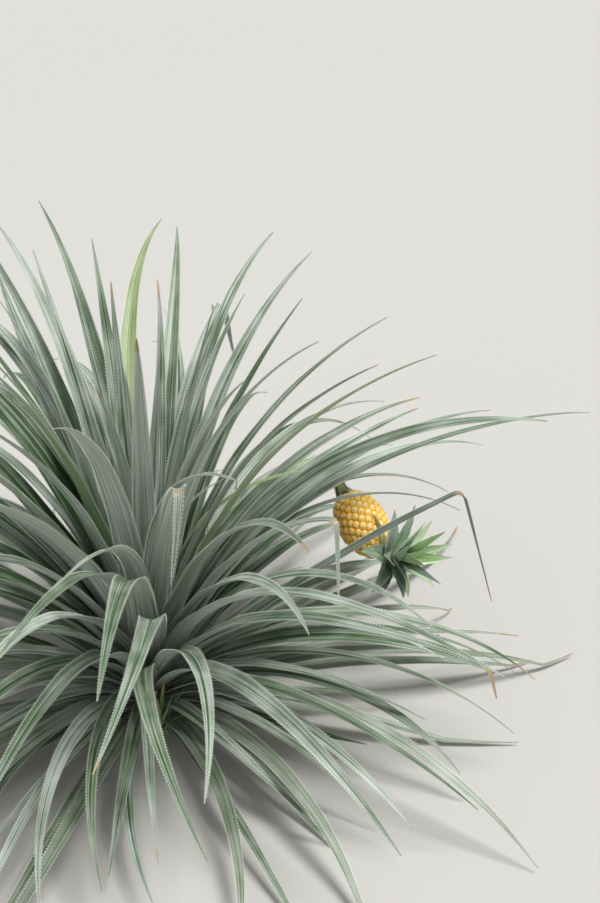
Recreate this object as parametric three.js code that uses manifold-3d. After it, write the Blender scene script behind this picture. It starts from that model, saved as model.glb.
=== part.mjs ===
// A pineapple plant, in millimetres, +Z up, with its origin on the ground under the stem.
// A short stout stem carries a rosette of long channelled leaves on a spiral. The lowest leaves are the
// oldest and arch over to the ground, the upper ones stand up, and the youngest are rolled round each
// other as the heart. A bent stalk carries one ripe fruit with its crown out to the right-hand side,
// and a small side shoot stands at the foot of the stem.
import * as THREE from "three";
import { mergeVertices } from "three/addons/utils/BufferGeometryUtils.js";
import Module from "manifold-3d";

const wasm = await Module();
wasm.setup();

const clear = 0.3; // between a leaf and what carries it
const goldenAngle = 137.508;
const degree = Math.PI / 180;

// The stem, from its flat cut at the ground to its tip: [radius, height].
const stemProfile = [
  [39, 0],
  [35, 10],
  [33, 40],
  [32, 80],
  [29, 116],
  [23, 148],
  [15, 174],
  [12, 180],
];
const stemSides = 24;

// The rosette, from the outermost leaf near the foot to the innermost near the tip.
const rosette = { leaves: 44, lowest: 36, highest: 154, firstAzimuth: 318.5 };
const leafSteps = 96; // steps of the sum that follows a leaf's midline
const leafStations = 10; // panels along a whole leaf's solid
const endStations = 5; // panels along the part beyond a bend
const splitDroop = 97; // a leaf that arches over by more than this is made in two parts
const hanging = -74; // how steeply the end of a creased leaf hangs
const channelDepth = 0.44; // how far a leaf's margins stand above its middle, to half its width
const asideStep = 4; // degrees by which a leaf is turned aside at a time
const asideRoom = 4; // kept free before and behind a leaf that is turned aside

// Leaves whose ends hang from a crease, and how far along the leaf the crease lies.
const creases = new Map([
  [12, 0.74],
  [19, 0.8],
  [26, 0.84],
]);
// Leaves that stand as the photograph shows them, and not as their age alone would have it.
const posed = new Map([
  [3, { azimuth: 8, launch: 41, droop: 28, length: 790, width: 29, drift: 2, crease: 0.69 }], // in front
  [5, { azimuth: 300, launch: 50, droop: 94, length: 690, drift: 6 }], // to the right of the side shoot
  [8, { azimuth: 338, launch: 40, droop: 60, length: 620, drift: 0, crease: 0.9 }], // under the crown
  [10, { azimuth: 259, launch: 55, droop: 96, length: 720, drift: -5 }], // to the left of the shoot
  [11, { azimuth: 18, launch: 66, droop: 95, length: 600, width: 23, drift: -8 }], // over the fruit
  [16, { azimuth: 348, launch: 66, droop: 88, length: 860, width: 36, drift: 20 }], // above the crown
  [21, { azimuth: 332, launch: 66, droop: 56, length: 640, drift: -14, crease: 0.8 }], // beside the fruit
]);

// Old leaves under the rosette lie out low on three levels, and are fused round the foot in fans.
const skirt = { fans: 6, leavesInFan: 4, firstAzimuth: 20, length: 660, width: 32 };
const skirtLevels = [
  { height: 6, launch: 18, droop: 46 },
  { height: 14, launch: 28, droop: 66 },
  { height: 23, launch: 37, droop: 84 },
];
const collar = { bottom: 2, top: 26, wall: 5, opening: 16 };

// The fruit hangs on the bent stalk, with its crown lower than its stalk end.
const fruit = {
  centre: new THREE.Vector3(346, 190, 222),
  axis: new THREE.Vector3(0.506, -0.665, -0.552).normalize(),
  length: 118,
  radius: 44,
};
const stalk = { radius: 8.5, sides: 10, steps: 18, azimuth: 43 };

// Short leaves on a core, from the outermost to the innermost: the crown, the side shoot and the heart.
// The crown turns up towards the light on a short neck, so its leaves beside the fruit stand up more.
const crown = {
  axis: new THREE.Vector3(0.66, -0.6, 0.45).normalize(),
  neck: 11,
  lift: 30,
  leaves: 23,
  core: 10,
  coreHeight: 30,
  launch: [12, 84],
  droop: [44, 8],
  length: [90, 104],
  width: [32, 22],
  thickness: 2.4,
  stations: 4,
};
const shoot = {
  leaves: 9,
  core: 6,
  coreHeight: 22,
  launch: [68, 86],
  droop: [34, 8],
  length: [60, 78],
  width: [11, 8],
  thickness: 1.6,
  stations: 4,
};
const heart = {
  leaves: 9,
  core: 10,
  coreHeight: 84,
  launch: [81, 89],
  droop: [14, 2],
  length: [560, 250],
  width: [30, 17],
  thickness: 5.6,
  stations: 8,
};
const runner = { height: 8, reach: 88, azimuth: -76, radius: 5 }; // from the stem's foot to the side shoot

// Colours of the finishes
const leafGreen = new THREE.MeshStandardMaterial({ color: "#8ea292", roughness: 0.55 });
const freshGreen = new THREE.MeshStandardMaterial({ color: "#6f9a5c", roughness: 0.5 });
const stemBrown = new THREE.MeshStandardMaterial({ color: "#7a6a4a", roughness: 0.85 });
const stalkGreen = new THREE.MeshStandardMaterial({ color: "#8a9a66", roughness: 0.7 });
const rindYellow = new THREE.MeshStandardMaterial({ color: "#f0b020", roughness: 0.5 });

const mix = (a, b, t) => a + (b - a) * t;
const clamp = (x, low, high) => Math.min(Math.max(x, low), high);
const ease = (x, low, high) => {
  const t = clamp((x - low) / (high - low), 0, 1);
  return t * t * (3 - 2 * t);
};

// An uneven number from 0 to 1, the same for one leaf and one use of it each time the plant is made.
function chance(leaf, use) {
  const x = Math.sin(leaf * 127.1 + use * 311.7) * 43758.5453;
  return x - Math.floor(x);
}
const sway = (leaf, use, most) => most * (2 * chance(leaf, use) - 1);

// The stem's radius at a height.
function stemRadius(height) {
  for (let i = 1; i < stemProfile.length; i++) {
    const [r0, z0] = stemProfile[i - 1];
    const [r1, z1] = stemProfile[i];
    if (height <= z1) return mix(r0, r1, (height - z0) / (z1 - z0));
  }
  return 0;
}

// How one leaf of the rosette stands. age runs from 0 for the outermost to 1 for the innermost.
function rosetteLeaf(k) {
  const age = k / (rosette.leaves - 1);
  const height = mix(rosette.lowest, rosette.highest, age);
  const leaf = {
    height,
    foot: stemRadius(height),
    azimuth: rosette.firstAzimuth + k * goldenAngle + sway(k, 2, 4),
    launch: 43 + 41 * age ** 0.8 + sway(k, 3, mix(2.4, 0.1, age)),
    droop: (8 + 92 * (1 - age) ** 0.65) * (1 + sway(k, 4, mix(0.14, 0.02, age))),
    power: mix(1.3, 1.9, age),
    length: (600 + 900 * age * (0.94 - age)) * (1 + sway(k, 1, 0.09)),
    width: 35 + 13 * Math.sin(Math.PI * age ** 0.8) + sway(k, 5, 3),
    drift: sway(k, 6, 14),
    roll: sway(k, 7, mix(32, 12, age)),
    crease: creases.get(k) ?? null,
    ...posed.get(k),
  };
  return { ...leaf, thickness: leaf.length / 100 };
}

// An old leaf of the skirt. It leaves the foot of the stem low, and lies on the ground beyond its arch.
function skirtLeaf(place) {
  const k = 100 + place;
  const level = skirtLevels[place % skirtLevels.length];
  const azimuth = skirt.firstAzimuth + (360 * (place + 0.5)) / (skirt.fans * skirt.leavesInFan);
  const length = skirt.length * (1 + sway(k, 1, 0.14));
  return {
    height: level.height,
    foot: stemRadius(level.height),
    azimuth: azimuth + sway(k, 2, 3),
    launch: level.launch + sway(k, 3, 1.5),
    droop: level.droop + sway(k, 4, 6),
    power: 1.05,
    length,
    width: skirt.width + sway(k, 5, 3),
    drift: 14 * Math.sin(2 * azimuth * degree + 1),
    roll: sway(k, 7, 12),
    crease: null,
    thickness: length / 100,
  };
}

// The leaf's midline, summed in short steps from its foot to its tip.
function followMidline(leaf) {
  const steepness = (u) => {
    const arch = leaf.launch - leaf.droop * u ** leaf.power;
    return leaf.crease ? mix(arch, hanging, ease(u, leaf.crease, leaf.crease + 0.035)) : arch;
  };
  const step = leaf.length / leafSteps;
  const line = [];
  let r = leaf.foot + 2.4 * clear + footThickness(leaf) * 0.5 * Math.sin(leaf.launch * degree);
  let z = leaf.height;
  for (let i = 0; i <= leafSteps; i++) {
    const share = i / leafSteps;
    const azimuth = (leaf.azimuth + leaf.drift * share * share) * degree;
    line.push(new THREE.Vector3(r * Math.cos(azimuth), r * Math.sin(azimuth), z));
    const u = share + 0.5 / leafSteps;
    const e = steepness(u) * degree;
    const floor = 8 + halfWidth(leaf, u) * Math.abs(Math.sin(rollAt(leaf, u) * degree));
    r += Math.cos(e) * step;
    z += Math.sin(e) * step;
    if (!leaf.aloft) z = Math.max(z, Math.min(floor, leaf.height));
  }
  return { ...leaf, line };
}

// Balls, [centre, radius], that stand for the stalk, the fruit, its crown and the side shoot.
const kept = [];
function isFree(leaf) {
  for (let i = 0; i <= leafSteps; i++) {
    const u = i / leafSteps;
    const { middle, along, side, up } = frameAt(leaf, u);
    for (const [centre, radius] of kept) {
      const apart = new THREE.Vector3().subVectors(centre, middle);
      const rise = apart.dot(up);
      const near =
        Math.abs(apart.dot(along)) < radius + asideRoom &&
        Math.abs(apart.dot(side)) < radius + halfWidth(leaf, u) &&
        rise > -radius - asideRoom &&
        rise < radius + asideRoom + channelDepth * halfWidth(leaf, u);
      if (near) return false;
    }
  }
  return true;
}

// A leaf that would touch one of them is turned aside in steps, and left out if no place is near.
function findPlace(leaf, tries) {
  for (let turn = 0; turn <= tries; turn++) {
    const aside = (turn % 2 ? 1 : -1) * Math.ceil(turn / 2) * asideStep;
    const tried = followMidline({ ...leaf, azimuth: leaf.azimuth + aside });
    if (isFree(tried)) return tried;
  }
  return null;
}

// A leaf is broad just above its foot and then tapers to a long point.
function halfWidth(leaf, u) {
  const flare = 0.7 + 0.3 * ease(u, 0, 0.1);
  return (leaf.width / 2) * flare * (1 - 0.96 * u ** 1.75);
}
const footThickness = (leaf) => Math.min(3.5, leaf.thickness);
const rollAt = (leaf, u) => leaf.roll * ease(u, 0.15, 0.9);

function thicknessAt(leaf, u) {
  const body = mix(footThickness(leaf), leaf.thickness, ease(u, 0.06, 0.22));
  return body * (1 - 0.72 * u ** 1.5);
}

// A point of the midline, steps from its foot.
function lineAt(leaf, steps) {
  const at = clamp(steps, 0, leafSteps);
  const i = Math.min(Math.floor(at), leafSteps - 1);
  return new THREE.Vector3().lerpVectors(leaf.line[i], leaf.line[i + 1], at - i);
}

// Where the leaf is at u along it, and the three directions it has there.
function frameAt(leaf, u) {
  const at = u * leafSteps;
  const middle = lineAt(leaf, at);
  const along = lineAt(leaf, at + 1.5).sub(lineAt(leaf, at - 1.5)).normalize();
  const radius = Math.hypot(middle.x, middle.y);
  const outward = new THREE.Vector3(middle.x / radius, middle.y / radius, 0);
  const side = new THREE.Vector3(-outward.y, outward.x, 0);
  side.addScaledVector(along, -side.dot(along)).normalize();
  const up = new THREE.Vector3().crossVectors(along, side);
  return { middle, along, side, up, outward, radius };
}

// A point of the leaf: u along it, across from -1 to 1 between its margins, through from -1 to 1.
function leafPoint(leaf, u, across, through) {
  const { middle, side, up, outward, radius } = frameAt(leaf, u);
  const offset = across * halfWidth(leaf, u);
  const turn = clamp(offset / radius, -1.4, 1.4);
  const sideways = radius * Math.sin(turn);
  const roll = rollAt(leaf, u) * degree;
  const channel = channelDepth * ease(u, 0.03, 0.25) * Math.abs(offset);
  const edge = mix(1, 0.34, Math.abs(across));
  const lift = channel * Math.cos(roll) + sideways * Math.sin(roll);
  return middle
    .addScaledVector(side, sideways * Math.cos(roll) - channel * Math.sin(roll))
    .addScaledVector(up, lift + 0.5 * through * edge * thicknessAt(leaf, u))
    .addScaledVector(outward, -radius * (1 - Math.cos(turn)));
}

// A leaf's solid is a box, two panels wide, that is bent to the leaf between two places along it.
function bladeGeometry(leaf, from, to, stations, crowding = 1) {
  const box = new THREE.BoxGeometry(2, 2, 1, 2, 1, stations);
  const place = box.getAttribute("position");
  for (let i = 0; i < place.count; i++) {
    const share = (place.getZ(i) + 0.5) ** crowding;
    const p = leafPoint(leaf, mix(from, to, share), place.getX(i), place.getY(i));
    place.setXYZ(i, p.x, p.y, p.z);
  }
  box.computeVertexNormals();
  return box;
}

// Between three.js geometry and closed solids that can be joined and cut.
function solidOf(geometry) {
  const bare = geometry.clone();
  for (const extra of ["normal", "uv"]) bare.deleteAttribute(extra);
  const merged = mergeVertices(bare, 1e-3);
  const mesh = new wasm.Mesh({
    numProp: 3,
    vertProperties: merged.getAttribute("position").array,
    triVerts: new Uint32Array(merged.index.array),
  });
  return new wasm.Manifold(mesh);
}

function geometryOf(solid) {
  const { numProp, numVert, vertProperties, triVerts } = solid.getMesh();
  const place = new Float32Array(numVert * 3);
  for (let i = 0; i < numVert; i++) {
    place.set(vertProperties.subarray(i * numProp, i * numProp + 3), i * 3);
  }
  const geometry = new THREE.BufferGeometry();
  geometry.setAttribute("position", new THREE.BufferAttribute(place, 3));
  geometry.setIndex(new THREE.BufferAttribute(new Uint32Array(triVerts), 1));
  geometry.computeVertexNormals();
  return geometry;
}

const plant = new THREE.Group();
function add(name, geometry, material) {
  const mesh = new THREE.Mesh(geometry, material);
  mesh.name = name;
  plant.add(mesh);
}

// A lathe turned about +Z from a profile of [radius, height].
function turned(profile, sides) {
  const points = profile.map(([r, z]) => new THREE.Vector2(r, z));
  return new THREE.LatheGeometry(points, sides).rotateX(Math.PI / 2);
}

function makeStem() {
  add("stem", turned([[0, 0], ...stemProfile, [0, stemProfile.at(-1)[1]]], stemSides), stemBrown);
}

// The stalk leaves the stem near its tip, arches over under the fruit's weight and ends at the fruit.
const onFruitAxis = (along) => fruit.centre.clone().addScaledVector(fruit.axis, along);
const stalkEnd = onFruitAxis(-fruit.length / 2 - clear);
function stalkPath() {
  const heading = stalk.azimuth * degree;
  const at = (r, z) => new THREE.Vector3(r * Math.cos(heading), r * Math.sin(heading), z);
  return new THREE.CatmullRomCurve3([
    at(18, 118),
    at(50, 158),
    at(110, 214),
    at(190, 268),
    stalkEnd.clone().addScaledVector(fruit.axis, -62).add(new THREE.Vector3(-14, 0, -6)),
    stalkEnd.clone().addScaledVector(fruit.axis, -26).add(new THREE.Vector3(0, 4, 4)),
    stalkEnd,
  ]);
}

function makeStalk() {
  const section = new THREE.Shape();
  section.absarc(0, 0, stalk.radius, 0, 2 * Math.PI);
  const tube = new THREE.ExtrudeGeometry(section, {
    extrudePath: stalkPath(),
    steps: stalk.steps,
    curveSegments: stalk.sides,
    bevelEnabled: false,
  });
  const top = stemProfile.at(-1)[1] + clear;
  const grown = [[0, 0], ...stemProfile.map(([r, z]) => [r + 1.5 * clear, z]), [0, top]];
  const cut = solidOf(tube).subtract(solidOf(turned(grown, stemSides)));
  add("fruit_stalk", geometryOf(cut), stalkGreen);
}

// The fruit is a barrel whose rind swells into fruitlets that stand on a spiral.
function makeFruit() {
  const around = 40;
  const along = 22;
  const fruitlets = 96;
  const ring = 13; // fruitlets met on the way once round and one fruitlet on
  const barrel = (t) => 0.94 * fruit.radius * Math.sin(Math.PI * clamp(t, 0.001, 0.999)) ** 0.36;
  const eyes = [];
  for (let k = 0; k < fruitlets; k++) {
    eyes.push([((k * goldenAngle) % 360) * degree, 0.06 + (0.88 * k) / (fruitlets - 1)]);
  }
  const swelling = (angle, t) => {
    let nearest = Infinity;
    for (const [eyeAngle, eyeAt] of eyes) {
      const apart = Math.atan2(Math.sin(angle - eyeAngle), Math.cos(angle - eyeAngle));
      const d = Math.hypot(apart * fruit.radius, (t - eyeAt) * fruit.length);
      nearest = Math.min(nearest, d);
    }
    const reach = (fruit.radius * 2 * Math.PI) / ring;
    return Math.max(0, 1 - (nearest / (0.55 * reach)) ** 2);
  };
  const profile = [];
  for (let j = 0; j <= along; j++) {
    const t = j / along;
    profile.push([j % along ? barrel(t) : 0, (t - 0.5) * fruit.length]);
  }
  const body = turned(profile, around);
  const place = body.getAttribute("position");
  for (let i = 0; i < place.count; i++) {
    const [x, y, z] = [place.getX(i), place.getY(i), place.getZ(i)];
    const r = Math.hypot(x, y);
    if (r < 0.6 * fruit.radius) continue;
    const grown = 1 + (0.07 * fruit.radius * swelling(Math.atan2(y, x), z / fruit.length + 0.5)) / r;
    place.setXYZ(i, x * grown, y * grown, z);
  }
  body.computeVertexNormals();
  const turn = new THREE.Quaternion().setFromUnitVectors(new THREE.Vector3(0, 0, 1), fruit.axis);
  body.applyQuaternion(turn).translate(...fruit.centre.toArray());
  add("fruit", body, rindYellow);
}

// Short leaves on a core that stands along +Z from the origin, as one solid. Leaves that face
// liftAzimuth, in degrees, are lifted.
function tuft(kind, liftAzimuth = 0) {
  const { core, coreHeight, lift = 0 } = kind;
  const spread = kind.launch[1] - kind.launch[0];
  const profile = [
    [0, 0],
    [core, 0],
    [core, 0.5 * coreHeight],
    [0.4 * core, coreHeight],
    [0, coreHeight * 1.06],
  ];
  let whole = solidOf(turned(profile, 12));
  for (let k = 0; k < kind.leaves; k++) {
    const age = k / (kind.leaves - 1);
    const facing = lift * (1 - age) * Math.max(0, Math.cos((k * goldenAngle - liftAzimuth) * degree));
    const leaf = followMidline({
      height: mix(0.14, 0.85, age) * coreHeight,
      foot: mix(0.55, 0.1, age) * core,
      azimuth: k * goldenAngle,
      launch: mix(...kind.launch, age ** 1.2) + sway(k, 11, 0.05 * spread) + facing,
      droop: mix(...kind.droop, age) * (1 + sway(k, 12, 0.2)) - facing,
      power: 1.4,
      length: mix(...kind.length, age) * (1 + sway(k, 13, 0.08)),
      width: mix(...kind.width, age),
      thickness: kind.thickness,
      drift: sway(k, 14, 12),
      roll: sway(k, 15, 20),
      crease: null,
      aloft: true,
    });
    whole = whole.add(solidOf(bladeGeometry(leaf, 0, 1, kind.stations)));
  }
  return whole;
}

function makeCrown() {
  const upright = new THREE.Vector3(0, 0, 1);
  const start = fruit.length / 2 + clear;
  const neck = new THREE.CylinderGeometry(crown.core, crown.core, crown.neck - clear, 12)
    .rotateX(Math.PI / 2)
    .applyQuaternion(new THREE.Quaternion().setFromUnitVectors(upright, fruit.axis))
    .translate(...onFruitAxis(start + (crown.neck - clear) / 2).toArray());
  const turn = new THREE.Quaternion().setFromUnitVectors(upright, crown.axis);
  const back = fruit.axis.clone().negate().applyQuaternion(turn.clone().invert());
  const leaves = geometryOf(tuft(crown, Math.atan2(back.y, back.x) / degree))
    .applyQuaternion(turn)
    .translate(...onFruitAxis(fruit.length / 2 + crown.neck).toArray());
  add("fruit_crown", geometryOf(solidOf(neck).add(solidOf(leaves))), freshGreen);
}

// The side shoot stands at the end of a short runner that comes from the collar round the stem's foot.
function makeShoot() {
  const start = stemRadius(collar.bottom) + collar.wall + 2 * clear;
  const length = runner.reach - start;
  const tube = new THREE.CylinderGeometry(runner.radius, runner.radius, length, 10)
    .rotateZ(Math.PI / 2)
    .translate(start + length / 2, 0, runner.height);
  const standing = geometryOf(tuft(shoot)).translate(runner.reach, 0, 2);
  const whole = geometryOf(solidOf(tube).add(solidOf(standing)));
  add("side_shoot", whole.rotateZ(runner.azimuth * degree), freshGreen);
}

// The heart: the youngest leaves, rolled round one another on the stem's tip.
function makeHeart() {
  const base = stemProfile.at(-1)[1] + clear;
  add("heart_leaves", geometryOf(tuft(heart)).translate(0, 0, base), leafGreen);
}

function keepClear() {
  const path = stalkPath();
  for (let i = 0; i <= 24; i++) kept.push([path.getPoint(i / 24), stalk.radius + 1]);
  for (const along of [-30, -10, 10, 30]) kept.push([onFruitAxis(along), fruit.radius + 2]);
  kept.push([onFruitAxis(fruit.length / 2 + crown.neck).addScaledVector(crown.axis, 40), 80]);
  const heading = runner.azimuth * degree;
  const standing = [[88, 88, 28], [88, 60, 17], [88, 38, 10], [88, 16, 6], [66, 8, 4], [50, 8, 4]];
  for (const [r, z, radius] of standing) {
    kept.push([new THREE.Vector3(r * Math.cos(heading), r * Math.sin(heading), z), radius]);
  }
}

// One leaf as a solid, or as two where it bends round a wide gap or hangs from a crease.
function makeLeaf(name, leaf) {
  const level = (leaf.launch / leaf.droop) ** (1 / leaf.power); // where the arch is level
  const split = leaf.crease ?? (leaf.droop > splitDroop ? level : 1);
  if (split === 1) {
    add(name, bladeGeometry(leaf, 0, 1, leafStations), leafGreen);
    return;
  }
  add(name, bladeGeometry(leaf, 0, split, leafStations - 2), leafGreen);
  const crowding = leaf.crease ? 1.7 : 1;
  const start = split + (1.7 * clear) / leaf.length;
  add(`${name}_end`, bladeGeometry(leaf, start, 1, endStations, crowding), leafGreen);
}

// A fan: neighbouring old leaves and the piece of collar round the foot of the stem that they grow from.
function makeFan(fan) {
  const spread = (360 / skirt.fans) * degree;
  const middle = skirt.firstAzimuth * degree + (fan + 0.5) * spread;
  const half = spread / 2 - collar.opening * degree;
  const inner = stemRadius(collar.bottom) + clear;
  const section = new THREE.Shape();
  section.absarc(0, 0, inner + collar.wall, middle - half, middle + half, false);
  section.absarc(0, 0, inner, middle + half, middle - half, true);
  const depth = collar.top - collar.bottom;
  const band = new THREE.ExtrudeGeometry(section, { depth, curveSegments: 6, bevelEnabled: false });
  let whole = solidOf(band.translate(0, 0, collar.bottom));
  for (let i = 0; i < skirt.leavesInFan; i++) {
    const leaf = findPlace(skirtLeaf(fan * skirt.leavesInFan + i), 2);
    if (leaf) whole = whole.add(solidOf(bladeGeometry(leaf, 0, 1, leafStations - 2)));
  }
  add(`skirt_${fan + 1}`, geometryOf(whole), leafGreen);
}

makeStem();
makeStalk();
makeFruit();
makeCrown();
makeShoot();
makeHeart();
keepClear();
for (let fan = 0; fan < skirt.fans; fan++) makeFan(fan);
let made = 0;
for (let k = 0; k < rosette.leaves; k++) {
  const leaf = posed.has(k) ? followMidline(rosetteLeaf(k)) : findPlace(rosetteLeaf(k), 12);
  if (!leaf) continue;
  made += 1;
  makeLeaf(`leaf_${String(made).padStart(2, "0")}`, leaf);
}

export default plant;
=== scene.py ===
# %% [markdown]
# # A pineapple plant in fruit
# The plant is a rosette: a short stout stem, a spiral of long channelled leaves with small hooked teeth on
# their margins, a skirt of old leaves on the ground, and one ripe fruit that has bent its stalk over.
# The packed model holds plain solids of all of these. This lesson dresses each one: the leaves are bent
# again by the rule that bent the solids, only finer and thinner, and the rind, the stalk and the stem get
# the relief that the solids leave out. The packed model comes first, because it says where everything is.

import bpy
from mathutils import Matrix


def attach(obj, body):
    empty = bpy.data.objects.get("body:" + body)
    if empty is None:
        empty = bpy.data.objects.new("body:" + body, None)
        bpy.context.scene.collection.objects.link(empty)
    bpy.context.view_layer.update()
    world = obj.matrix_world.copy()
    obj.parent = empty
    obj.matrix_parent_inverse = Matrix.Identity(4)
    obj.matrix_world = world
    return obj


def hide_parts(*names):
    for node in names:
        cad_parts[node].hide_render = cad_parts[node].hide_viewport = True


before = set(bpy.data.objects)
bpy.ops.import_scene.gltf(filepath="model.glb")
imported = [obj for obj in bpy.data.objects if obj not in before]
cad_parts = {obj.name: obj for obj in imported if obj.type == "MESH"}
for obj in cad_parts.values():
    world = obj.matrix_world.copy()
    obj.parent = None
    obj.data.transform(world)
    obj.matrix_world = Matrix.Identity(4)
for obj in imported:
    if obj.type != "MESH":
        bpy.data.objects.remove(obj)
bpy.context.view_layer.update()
print("packed nodes:", len(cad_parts))

# %% The other things that the lesson needs
import math

import bmesh
import bpy
import numpy as np
from mathutils import Matrix, Vector

mm = 0.001  # the plant's sizes below are in millimetres, and Blender's are in metres
degree = math.pi / 180
golden_angle = 137.508
upright = Vector((0, 0, 1))


def put_in_scene(name, data):
    thing = bpy.data.objects.new(name, data)
    bpy.context.scene.collection.objects.link(thing)
    return thing


def mesh_from(shell, name):
    """Write what the operators made into a mesh of its own."""
    mesh = bpy.data.meshes.new(name)
    shell.to_mesh(mesh)
    shell.free()
    return mesh


print("one step of the spiral is", golden_angle, "degrees")

# %% [markdown]
# ## Camera
# The photograph looks down on the plant from a standing person's height, about 30 degrees below the level.
# A long lens keeps the leaves' proportions. The camera is set by where it stands and how far it tips, and
# not aimed at a target, because these are the numbers that the picture gives.

# %% Put up the camera
photo_height = 903  # in pixels, like the focal length below
focal_length = 1524
camera_data = bpy.data.cameras.new("camera")
camera_data.sensor_fit = "AUTO"
camera_data.sensor_width = 36
camera_data.lens = camera_data.sensor_width * focal_length / photo_height
camera_data.clip_end = 200
camera = put_in_scene("camera", camera_data)
camera.location = (0.242, -1.957, 1.6)
camera.rotation_euler = (60 * degree, 0, 0)
bpy.context.scene.camera = camera
print("lens", round(camera_data.lens, 2), "mm")

# %% [markdown]
# ## A short way to write materials
# A shader's maths is easier to read as an expression than as a list of nodes and links.
# `Wire` holds one socket and knows plus, minus and times, so `1 - mask * 0.5` adds the Math nodes itself.
# `Finish` is one material: its `node` method makes any other node, and `blend` mixes two colours.


# %% Colours and wires
def colour_of(code):
    """A colour such as #8ea292 as the numbers that a shader takes."""
    parts = [int(code[i : i + 2], 16) / 255 for i in (1, 3, 5)]
    linear = [x / 12.92 if x <= 0.04045 else ((x + 0.055) / 1.055) ** 2.4 for x in parts]
    return (*linear, 1)


class Wire:
    """One socket of a finish, for use in expressions on numbers."""

    def __init__(self, finish, socket):
        self.finish = finish
        self.socket = socket

    def maths(self, operation, *values, clamped=False):
        settings = {"operation": operation, "use_clamp": clamped}
        return self.finish.node("ShaderNodeMath", settings, dict(enumerate(values)))

    def __add__(self, other):
        return self.maths("ADD", self, other)

    def __mul__(self, other):
        return self.maths("MULTIPLY", self, other)

    __radd__ = __add__
    __rmul__ = __mul__

    def __sub__(self, other):
        return self.maths("SUBTRACT", self, other)

    def __rsub__(self, other):
        return self.maths("SUBTRACT", other, self)

    def __abs__(self):
        return self.maths("ABSOLUTE", self)

    def step(self, low, high):
        """From 0 at low to 1 at high, smoothly."""
        settings = {"interpolation_type": "SMOOTHSTEP"}
        inputs = {"Value": self, "From Min": low, "From Max": high}
        return self.finish.node("ShaderNodeMapRange", settings, inputs)

    def held(self):
        """The same, but never below 0 or above 1."""
        return self.maths("ADD", self, 0.0, clamped=True)


print("half of white is", [round(x, 3) for x in colour_of("#808080")])


# %% A finish
class Finish:
    """One material, and the methods that add nodes to it."""

    def __init__(self, name, **uniform):
        self.material = bpy.data.materials.new(name)
        self.material.use_nodes = True
        self.tree = self.material.node_tree
        self.shader = self.tree.nodes["Principled BSDF"]
        self.paint(**uniform)

    def feed(self, socket, value):
        if isinstance(value, Wire):
            self.tree.links.new(value.socket, socket)
        else:
            socket.default_value = colour_of(value) if isinstance(value, str) else value

    def node(self, kind, settings=None, inputs=None, output=0):
        node = self.tree.nodes.new(kind)
        for name, value in (settings or {}).items():
            setattr(node, name, value)
        for name, value in (inputs or {}).items():
            self.feed(node.inputs[name], value)
        return Wire(self, node.outputs[output])

    def blend(self, share, first, second):
        return self.node("ShaderNodeMix", {"data_type": "RGBA"}, {0: share, 6: first, 7: second}, 2)

    def vector(self, x, y, z):
        return self.node("ShaderNodeCombineXYZ", None, {"X": x, "Y": y, "Z": z})

    def parts(self, vector):
        """The X, the Y and the Z of a vector."""
        split = self.node("ShaderNodeSeparateXYZ", None, {"Vector": vector}).socket.node
        return [Wire(self, output) for output in split.outputs]

    def noise(self, place, scale, detail=2.0, roughness=0.5):
        inputs = {"Vector": place, "Scale": scale, "Detail": detail, "Roughness": roughness}
        return self.node("ShaderNodeTexNoise", None, inputs)

    def attribute(self, name):
        return self.node("ShaderNodeAttribute", {"attribute_name": name}, None, "Fac")

    def place(self):
        return self.node("ShaderNodeTexCoord", None, None, "Object")

    def paint(self, **sockets):
        for name, value in sockets.items():
            self.feed(self.shader.inputs[name.replace("_", " ")], value)

    def relief(self, height, strength, distance):
        inputs = {"Height": height, "Strength": strength, "Distance": distance}
        self.paint(Normal=self.node("ShaderNodeBump", None, inputs))


print("a finish knows:", [name for name in vars(Finish) if not name.startswith("_")])

# %% [markdown]
# ## Floor and light
# The plant stands on a plain pale floor that fills the whole frame. Under a bright cloudy sky the light
# comes softly from all of the upper half. A sun lamp with a very wide angle does the same: it is as strong
# everywhere, so the floor stays even, and its shadows are soft. The world keeps them from going black.


# %% A floor, a wide soft sun and the world's even light
def lay_floor(size, colour):
    sheet = bmesh.new()
    bmesh.ops.create_grid(sheet, x_segments=1, y_segments=1, size=size / 2)
    floor = put_in_scene("floor", mesh_from(sheet, "floor"))
    floor.data.materials.append(Finish("floor", Base_Color=colour, Roughness=0.9).material)


def hang_sun(name, place, strength, angle, colour):
    data = bpy.data.lights.new(name, "SUN")
    data.energy = strength
    data.angle = angle * degree
    data.color = colour
    lamp = put_in_scene(name, data)
    lamp.rotation_euler = (-Vector(place)).to_track_quat("-Z", "Y").to_euler()


lay_floor(60, (0.52, 0.505, 0.48, 1))
hang_sun("sky", (0.7, -0.2, 1.9), 3.3, 24, (1, 0.995, 0.985))
hang_sun("fill", (-1.2, -1.0, 1.2), 0.4, 60, (0.97, 0.985, 1))
world = bpy.data.worlds.new("world")
bpy.context.scene.world = world
world.use_nodes = True
all_round = world.node_tree.nodes["Background"]
all_round.inputs["Color"].default_value = (0.95, 0.98, 1, 1)
all_round.inputs["Strength"].default_value = 0.42
bpy.context.scene.view_settings.view_transform = "Standard"

# %% [markdown]
# ## How a leaf grows
# Each leaf leaves the stem at an angle, arches over under its weight and tapers to a long point. A sum of
# short steps gives its midline, and the height never falls below the ground. The numbers of each leaf come
# from its place on the spiral: old leaves are low and arch far over, young ones stand up.
# The packed solids were bent by this same rule, so each new leaf lies inside the space of its solid.

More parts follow.
